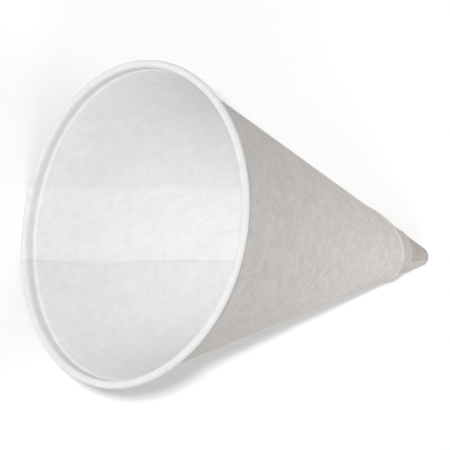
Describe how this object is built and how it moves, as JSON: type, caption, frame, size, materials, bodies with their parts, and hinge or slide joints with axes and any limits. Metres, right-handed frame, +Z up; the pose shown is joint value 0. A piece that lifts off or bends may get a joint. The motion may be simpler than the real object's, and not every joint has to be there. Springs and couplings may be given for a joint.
{
  "type": "cone paper cup",
  "caption": "White paper cone cup with an outward rolled rim, wound from one sheet and glued, lying on its side. Holds a small drink of water.",
  "frame": {"origin": "on the floor, under the middle of the cup's bounding box, with the cup lying on its side", "axes": "+X towards the cone's tip, +Y to the side, +Z up; the mouth faces -X and tilts up, and the cone's axis slopes down to +X at 20.3 degrees"},
  "size_m": [0.1012, 0.073, 0.0681],
  "materials": {
    "white_paper": "matt uncoated paper with a faint fibre mottle"
  },
  "bodies": {
    "root": {"cone_cup": "white_paper"}
  },
  "joints": []
}
